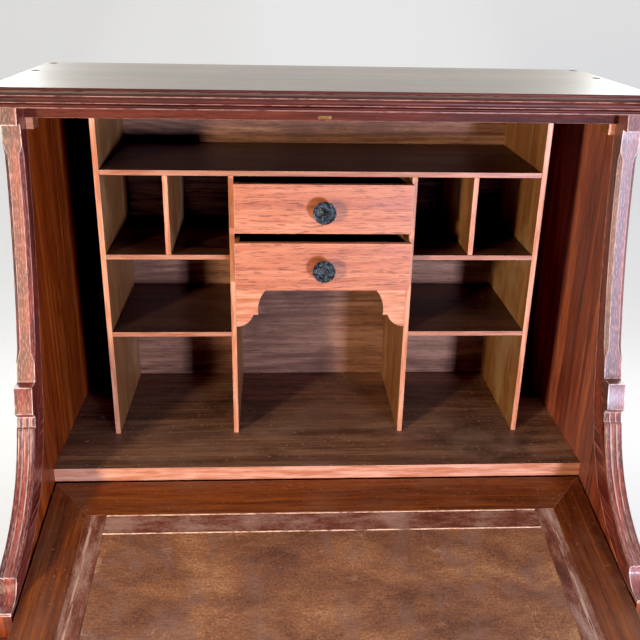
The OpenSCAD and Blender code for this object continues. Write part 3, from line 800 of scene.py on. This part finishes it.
def top_board():
    """The top, its edge moulded on three sides, drilled for a gallery's dowels."""
    front, back = top_low.y + 10, top_high.y
    below_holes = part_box("top_board")[1].z - DOWEL_DEPTH - 0.002
    rings = []
    for o, z in TOP_EDGE:
        w = top_half + o
        rings.append([at(-w, back, under_top + z), at(-w, front - o, under_top + z),
                      at(w, front - o, under_top + z), at(w, back, under_top + z)])
    shape = Shape()
    shape.loft(rings, [[(p.x, p.y, p.z) for p in ring] for ring in rings])
    piece = make("top_board_moulded", shape, top_wood("X"), "case", ["top_board"],
                 sharp=30)
    drill = bpy.data.meshes.new("dowel_holes")
    work = bmesh.new()
    for x in (-1, 1):
        for y in (0, 1):
            spot = at(x * DOWEL_X, back_face - DOWEL_FROM_BACK - y * DOWEL_PITCH,
                      under_top + TOP_T)
            bmesh.ops.create_cone(work, cap_ends=True, segments=32, radius1=DOWEL_R,
                                  radius2=DOWEL_R, depth=2 * DOWEL_DEPTH,
                                  matrix=Matrix.Translation(spot))
    work.to_mesh(drill)
    work.free()
    cutter = bpy.data.objects.new("dowel_holes", drill)
    bpy.context.scene.collection.objects.link(cutter)
    cut = piece.modifiers.new("holes", "BOOLEAN")
    cut.object = cutter
    cut.solver = "EXACT"
    bpy.context.view_layer.update()
    seen = piece.evaluated_get(bpy.context.evaluated_depsgraph_get())
    cut_mesh = bpy.data.meshes.new_from_object(seen)
    piece.modifiers.clear()
    piece.data = cut_mesh
    bpy.data.objects.remove(cutter)
    cut_mesh.materials.append(red_moulding("X"))
    for face in cut_mesh.polygons:
        upper = face.normal.z > 0.9 and face.center.z > below_holes
        face.material_index = 0 if upper else 1
    return piece


top_board()

BEAD = (
    [(-8, 6.5), (-0.6, 6.5)]
    + bowed((0, 6.1), (0, 2.0), -2.0, 10)
    + [(-0.8, 1.6), (-1.5, 1.4), (-1.5, 0.2), (-1.9, 0), (-8, 0)]
)


def cornice():
    """Bead and fillet under the top, with its ground back to the header."""
    low, high = box_mm("cornice_moulding")
    shape = Shape()
    mitred_runs(shape, BEAD, high.x - 2.0, low.y + 2.0, back_face, low.z)
    x, front, back = high.x - 12, low.y + 11, 52
    ground = [(-x, front), (x, front), (x, back), (-x, back)]
    shape.block([at(px, py, z) for z in (low.z, high.z) for px, py in ground])
    return make("cornice_moulding_bead", shape, red_moulding("own"), "case",
                ["cornice_moulding"])


cornice()

WAIST = (
    [(0, 24), (8.6, 24)]
    + bowed((9.2, 23.8), (9.2, 19.6), -0.8, 6)
    + [(8.6, 19.2), (8.2, 18.6)]
    + bowed((8.2, 18.4), (7.6, 9.6), 2.6, 12)
    + [(8.4, 9.0), (8.6, 8.2), (8.4, 6.6), (7.4, 6.2)]
    + bowed((7.2, 6.0), (2.0, 1.0), -1.4, 8)
    + [(2.0, 0.2), (1.4, 0), (0, 0)]
)


def waist():
    """The moulding round the top of the lower case."""
    low = box_mm("waist_moulding")[0]
    shape = Shape()
    mitred_runs(shape, WAIST, out_half, -case_front, back_face, low.z)
    return make("waist_moulding_run", shape, red_moulding("own"), "case",
                ["waist_moulding"])


waist()

# ---- Knobs ----

KNOB_SIDES = 72
HAMMER_MARK = 2.6
NUT_R = 6.4
NUT_T = 4
PAIR = (-0.29, 0.29)  # where two knobs stand, in shares of the drawer front's width


def knob(shape, centre, r, out, front_t, seed):
    """A round knob on a spindle, its face hammered, with a nut behind the drawer's front.
    The axis runs along -Y from centre, a point on the front's face. The profile is
    (distance from the axis, distance out of the front)."""
    profile = [(0.0, -front_t - 6), (2.4, -front_t - 6), (2.9, -front_t - 5.5), (2.9, -0.3),
               (r * 0.6, -0.05), (r * 0.62, 0.8), (r * 0.58, 1.8), (r * 0.5, 2.4)]
    profile += bowed((r * 0.44, 3.2), (r * 0.5, out * 0.45), 1.2, 8)
    profile += bowed((r * 0.5, out * 0.45), (r * 0.95, out * 0.685), 1.6, 10)[1:]
    profile += [(r * 0.985, out * 0.69), (r, out * 0.705), (r, out * 0.77), (r * 0.985, out * 0.79),
                (r * 0.955, out * 0.795), (r * 0.93, out * 0.79)]
    profile += bowed((r * 0.92, out * 0.80), (0.0, out * 0.965), -1.6, 22)
    hammered_from = out * 0.796
    rings, grains = [], []
    for pr, pz in profile:
        ring = []
        for i in range(KNOB_SIDES):
            a = 2 * math.pi * i / KNOB_SIDES
            depth = pz
            x, z = pr * math.cos(a), pr * math.sin(a)
            if pz > hammered_from:
                spot = Vector((x / HAMMER_MARK + seed * 7, z / HAMMER_MARK, seed * 3))
                near = noise.voronoi(spot, distance_metric="DISTANCE", exponent=2.5)[0]
                ridge = min(1.0, (near[1] - near[0]) * 2.2)
                fade = smooth_step(r * 0.93, r * 0.86, pr)
                depth += (0.6 - 0.95 * (1 - ridge) - 0.3 * near[0]) * fade
                depth = min(depth, out)
            ring.append(centre + Vector((x, -depth, z)) * MM)
        rings.append(ring)
        grains.append([(p.x, p.y, p.z) for p in ring])
    shape.loft(rings, grains, caps=False)
    nut = []
    for k in range(6):
        a = k * math.pi / 3
        corner = Vector((NUT_R * math.cos(a), front_t, NUT_R * math.sin(a)))
        nut.append(centre + corner * MM)
    nut_back = [p + Vector((0, NUT_T * MM, 0)) for p in nut]
    shape.loft([nut, nut_back], [[tuple(p) for p in nut], [tuple(p) for p in nut_back]])


def knobs():
    """The knobs of the five drawers, sized and placed by the frame's own."""
    metal = iron()
    for count, (node, body, shares) in enumerate((
        ("upper_drawer_knob", "upper_drawer", (0,)),
        ("lower_drawer_knob", "lower_drawer", (0,)),
        ("long_drawer_1_knobs", "long_drawer_1", PAIR),
        ("long_drawer_2_knobs", "long_drawer_2", PAIR),
        ("long_drawer_3_knobs", "long_drawer_3", PAIR),
    )):
        front_low, front_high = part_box(body + "_front")
        knob_low, knob_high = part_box(node)
        r = (knob_high.z - knob_low.z) / 2 / MM
        out = (front_low.y - knob_low.y) / MM
        front_t = (front_high.y - front_low.y) / MM
        shape = Shape()
        for i, share in enumerate(shares):
            x = share * (front_high.x - front_low.x)
            centre = Vector((x, front_low.y, (front_low.z + front_high.z) / 2))
            knob(shape, centre, r, out, front_t, count * 2 + i + 1)
        make(node + "_hammered", shape, metal, body, [node], sharp=50,
             weld=0.000005)


knobs()

# ---- Fall ----

HAIRLINE = 0.05
SIDE_STRIP_W = 26.5
END_STRIP_W = 33.5
INSET_FLOOR = -3.5
LINE_W = 1.9
LINE_SHARE = 0.06  # just over LINE_W in END_STRIP_W


def strip_profile(width):
    """Across a strip: a narrow raised line along both edges and a flat between."""
    line = [(0.0, -0.75), (0.3, -0.35), (LINE_W / 2, -0.15), (LINE_W - 0.3, -0.35),
            (LINE_W, -0.8)]
    mirrored = [(width - a, z) for a, z in reversed(line)]
    return [(0.0, INSET_FLOOR)] + line + mirrored + [(width, INSET_FLOOR)]


def fall_strips():
    """The inset border: four strips round the writing panel, the side ones full length."""
    x1 = FALL_HALF - FALL_STILE_W
    x0 = x1 - SIDE_STRIP_W
    near, far = FALL_RAIL_W, FALL_LEN - FALL_RAIL_W
    tip = x0 - HAIRLINE
    shape = Shape()
    for i, (start, end, edge, turn) in enumerate((
        (-tip, tip, near, 0),
        (-tip, tip, far - END_STRIP_W, 0),
        (near, far, -x1, 1),
        (near, far, x0, 1),
    )):
        width = SIDE_STRIP_W if turn else END_STRIP_W
        profile = strip_profile(width)
        rings, grains = [], []
        for along in (start, end):
            ring, grain = [], []
            for across, z in profile:
                x, y = (edge + across, -along) if turn else (along, -edge - across)
                share = across / width if edge > -x1 else 1 - across / width
                ring.append(on_fall(x, y, z))
                grain.append((along * MM + i, (edge + across) * MM,
                              (share + SIDE_STRIP * turn) * STRIP_SHARE))
            rings.append(ring)
            grains.append(grain)
        shape.loft(rings, grains)
    piece = make("fall_border_strips", shape, leather_border(), "fall",
                 ["fall_border"])
    piece.data.materials.append(rubbed_line())
    grain = piece.data.attributes["grain"].data
    for face in piece.data.polygons:
        deep = sum(grain[v].vector.z for v in face.vertices) / len(face.vertices)
        share = deep / STRIP_SHARE
        on_line = share < LINE_SHARE or 1 - LINE_SHARE < share < 1.01
        face.material_index = 1 if on_line else 0
    return piece


def fall_panel():
    """The writing panel, very slightly uneven."""
    x0 = FALL_HALF - FALL_STILE_W - SIDE_STRIP_W - 2 * HAIRLINE
    near = FALL_RAIL_W + END_STRIP_W + 2 * HAIRLINE
    far = FALL_LEN - near
    nx, ny = 60, 36
    highest = -0.9
    rows, grains = [], []
    for j in range(ny + 1):
        y = -near - (far - near) * j / ny
        row, grain = [], []
        for i in range(nx + 1):
            x = -x0 + 2 * x0 * i / nx
            swell = noise.noise(Vector((x / 60, y / 60, 3.0))) * 0.16 - 0.2
            border = min(i, nx - i, j, ny - j)
            z = highest + (swell if border > 0 else -0.25)
            row.append(on_fall(x, y, min(z, highest)))
            grain.append((x * MM, y * MM, 0.0))
        rows.append(row)
        grains.append(grain)
    shape = Shape()
    shape.loft(rows, grains, closed=False, caps=False)
    count = nx + 1
    edge = list(range(count))
    edge += [count * j + nx for j in range(1, ny + 1)]
    edge += [count * ny + i for i in range(nx - 1, -1, -1)]
    edge += [count * j for j in range(ny - 1, 0, -1)]
    first = len(shape.points)
    for k in edge:
        x, y = shape.grain[k][0] / MM, shape.grain[k][1] / MM
        shape.points.append(on_fall(x, y, INSET_FLOOR))
        shape.grain.append(shape.grain[k])
    for n in range(len(edge)):
        m = (n + 1) % len(edge)
        shape.faces.append((edge[n], edge[m], first + m, first + n))
    shape.faces.append(tuple(first + n for n in reversed(range(len(edge)))))
    return make("fall_panel_leather", shape, leather_panel(), "fall",
                ["fall_writing_panel"])


fall_strips()
fall_panel()


def fielded_panel():
    """The panel behind the leather, its outer face raised inside a sloping margin."""
    rings, grains = [], []
    x, near, far = FALL_HALF - FALL_STILE_W, FALL_RAIL_W, FALL_LEN - FALL_RAIL_W
    for inset, z in ((0, -3.6), (0, -11.0), (4, -11.0), (5, -11.4), (36, -14.4), (36.2, -15.7),
                     (36.8, -16.0)):
        corners = [(-x + inset, -near - inset), (x - inset, -near - inset),
                   (x - inset, -far + inset), (-x + inset, -far + inset)]
        rings.append([on_fall(px, py, z) for px, py in corners])
        grains.append([(px * MM, py * MM, z * MM) for px, py in corners])
    shape = Shape()
    shape.loft(rings, grains)
    return make("fall_core_fielded", shape, fall_wood("own"), "fall",
                ["fall_core_panel"], sharp=12)


fielded_panel()

# ---- Long drawer fronts ----

COCK_BEAD = 3.2
FIELD_DEPTH = 1.8
FRONT_RINGS = (
    [(0, 20), (0, 1.5)]
    + [(COCK_BEAD * (1 - math.cos(a)) / 2, 1.5 * (1 - math.sin(a)))
       for a in (math.pi * k / 10 for k in range(1, 10))]
    + [(COCK_BEAD, 1.5), (COCK_BEAD, FIELD_DEPTH), (22, FIELD_DEPTH), (22.8, 2.8),
       (23.6, FIELD_DEPTH), (26.4, FIELD_DEPTH), (27.0, 2.5), (27.6, FIELD_DEPTH)]
)


def long_front(node, seed):
    """A long drawer's front: a cock bead round it and two lines cut inside its edge."""
    low, high = box_mm(node)
    rings, grains = [], []
    for inset, deep in FRONT_RINGS:
        corners = [(low.x + inset, low.z + inset), (high.x - inset, low.z + inset),
                   (high.x - inset, high.z - inset), (low.x + inset, high.z - inset)]
        rings.append([at(x, low.y + deep, z) for x, z in corners])
        grains.append([(x * MM + seed, z * MM, deep * MM) for x, z in corners])
    shape = Shape()
    shape.loft(rings, grains)
    body = node.replace("_front", "")
    return make(node + "_beaded", shape, long_front_wood("own"), body, [node],
                sharp=28)


for number in (1, 2, 3):
    long_front(f"long_drawer_{number}_front", number * 1.7)

# ---- Boarded backs ----

BACK_BOARDS = 8
V_CUT = 1.6


def boarded_back(node):
    """A back panel as upright boards, each with its edges eased to a V."""
    low, high = box_mm(node)
    width = (high.x - low.x) / BACK_BOARDS
    shape = Shape()
    for i in range(BACK_BOARDS):
        x0, x1 = low.x + i * width + HAIRLINE, low.x + (i + 1) * width - HAIRLINE
        outline = [(x0 + V_CUT, low.y), (x1 - V_CUT, low.y), (x1, low.y + V_CUT),
                   (x1, high.y - V_CUT), (x1 - V_CUT, high.y), (x0 + V_CUT, high.y),
                   (x0, high.y - V_CUT), (x0, low.y + V_CUT)]
        shape.loft(
            [[at(x, y, z) for x, y in outline] for z in (low.z, high.z)],
            [[(z * MM + i * 1.3, x * MM, y * MM) for x, y in outline] for z in (low.z, high.z)],
        )
    return make(node + "_boards", shape, back_panel_wood("own"), "case",
                [node])


boarded_back("upper_back_panel")
boarded_back("lower_back_panel")

# ---- Stage, light and camera ----

WALL_Y = 3.2
WALL_TOP = 6.0
FLOOR_FRONT = -6.0
STAGE_HALF = 7.0
COVE_R = 1.2
COVE_STEPS = 16
WALL_GLOW = 0.585
FLOOR_GLOW = 0.22
FAR_GLOW = 0.68


def backdrop():
    """A pale floor that curves up into a pale wall. Farther from the desk, in metres,
    both are darker and glow more."""
    profile = [(FLOOR_FRONT, 0.0)]
    for i in range(COVE_STEPS + 1):
        a = math.pi / 2 * i / COVE_STEPS
        profile.append((WALL_Y - COVE_R + COVE_R * math.sin(a), COVE_R * (1 - math.cos(a))))
    profile.append((WALL_Y, WALL_TOP))
    points = [(x, y, z) for y, z in profile for x in (-STAGE_HALF, STAGE_HALF)]
    faces = [(2 * i, 2 * i + 1, 2 * i + 3, 2 * i + 2) for i in range(len(profile) - 1)]
    mesh = bpy.data.meshes.new("backdrop")
    mesh.from_pydata(points, [], faces)
    for polygon in mesh.polygons:
        polygon.use_smooth = True
    g = Graph("backdrop")
    place = g.add("TexCoord").outputs["Object"]
    tone = g.noise(place, (1.5, 1.5, 1.5), 3.0)
    shade = g.ramp(tone, [(0.3, rgb(206, 206, 205)), (0.7, rgb(212, 212, 211))])
    away = g.add("VectorMath", {0: place}, operation="LENGTH").outputs["Value"]
    shade = g.mix(g.between(away, 1.6, 3.2), shade, rgb(132, 132, 131))
    rise = g.times(g.between(away, 1.0, 3.4), WALL_GLOW - FLOOR_GLOW)
    glow = g.plus(FLOOR_GLOW, rise)
    rise = g.times(g.between(away, 3.6, 6.5), FAR_GLOW - WALL_GLOW)
    glow = g.plus(glow, rise)
    g.put(g.shader.inputs["Emission Strength"], glow)
    mesh.materials.append(g.finish(shade, 0.9, Emission_Color=(1, 1, 1, 1)))
    plane = bpy.data.objects.new("backdrop", mesh)
    bpy.context.scene.collection.objects.link(plane)


backdrop()


def lamp(name, azimuth, height, distance, size, power, colour, aim):
    """A square light; azimuth runs from straight ahead of the desk towards its right."""
    data = bpy.data.lights.new(name, "AREA")
    data.size = size
    data.energy = power
    data.color = colour
    light = bpy.data.objects.new(name, data)
    angle = math.radians(azimuth)
    light.location = aim + Vector((math.sin(angle), -math.cos(angle), 0)) * distance
    light.location.z = height
    light.rotation_euler = (aim - light.location).to_track_quat("-Z", "Y").to_euler()
    light.visible_camera = False
    bpy.context.scene.collection.objects.link(light)


AIM = Vector((0.0, 0.1, 0.95))
COOL = (0.90, 0.96, 1.28)
WARM = (1.0, 0.80, 0.54)
NEUTRAL = (1.0, 1.0, 1.0)
lamp("key_right", 22, 0.92, 2.6, 0.26, 56, COOL, AIM)
lamp("key_left", -41, 1.3, 2.0, 0.22, 34, WARM, AIM)
lamp("rear_right", 140, 1.9, 2.8, 1.4, 36, NEUTRAL, AIM)
lamp("rear_left", 215, 1.9, 2.8, 1.4, 36, NEUTRAL, AIM)
lamp("overhead", 0, 3.6, 0.3, 2.0, 26, NEUTRAL, AIM)

DEEPEST = (0.008, 0.0035, 0.0015)  # what the view takes for black


def studio(ambient, mirrored, seen):
    """A pale surround: how strongly it lights the desk, shows in its gloss, and is seen."""
    world = bpy.data.worlds.new("studio")
    world.use_nodes = True
    tree = world.node_tree
    background = tree.nodes["Background"]
    background.inputs["Color"].default_value = (0.97, 0.98, 1.0, 1.0)
    ray = tree.nodes.new("ShaderNodeLightPath")
    strength = mirrored
    for kind, value in (("Is Diffuse Ray", ambient), ("Is Camera Ray", seen)):
        choice = tree.nodes.new("ShaderNodeMix")
        tree.links.new(ray.outputs[kind], choice.inputs["Factor"])
        if isinstance(strength, float):
            choice.inputs["A"].default_value = strength
        else:
            tree.links.new(strength, choice.inputs["A"])
        choice.inputs["B"].default_value = value
        strength = choice.outputs["Result"]
    tree.links.new(strength, background.inputs["Strength"])
    bpy.context.scene.world = world
    view = bpy.context.scene.view_settings
    view.view_transform = "Standard"
    view.use_curve_mapping = True
    view.curve_mapping.black_level = DEEPEST


studio(ambient=0.0, mirrored=0.16, seen=0.7)

LENS = 46.351
EYE = (-0.06488, -0.887314, 1.40382)
HEADING, PITCH, ROLL = 3.3928, 22.6535, 1.18106  # degrees


def camera():
    """The camera, placed and turned as solved from the photo's own straight edges."""
    data = bpy.data.cameras.new("camera")
    data.sensor_width = 36
    data.lens = LENS
    yaw, pitch, roll = (math.radians(a) for a in (HEADING, PITCH, ROLL))
    right = Vector((math.cos(yaw), -math.sin(yaw), 0))
    level = Vector((math.sin(yaw), math.cos(yaw), 0))
    up = level * math.sin(pitch) + Vector((0, 0, math.cos(pitch)))
    ahead = level * math.cos(pitch) - Vector((0, 0, math.sin(pitch)))
    across = right * math.cos(roll) + up * math.sin(roll)
    upright = up * math.cos(roll) - right * math.sin(roll)
    turn = Matrix((across, upright, -ahead)).transposed().to_4x4()
    eye = bpy.data.objects.new("camera", data)
    eye.matrix_world = Matrix.Translation(EYE) @ turn
    bpy.context.scene.collection.objects.link(eye)
    bpy.context.scene.camera = eye


camera()
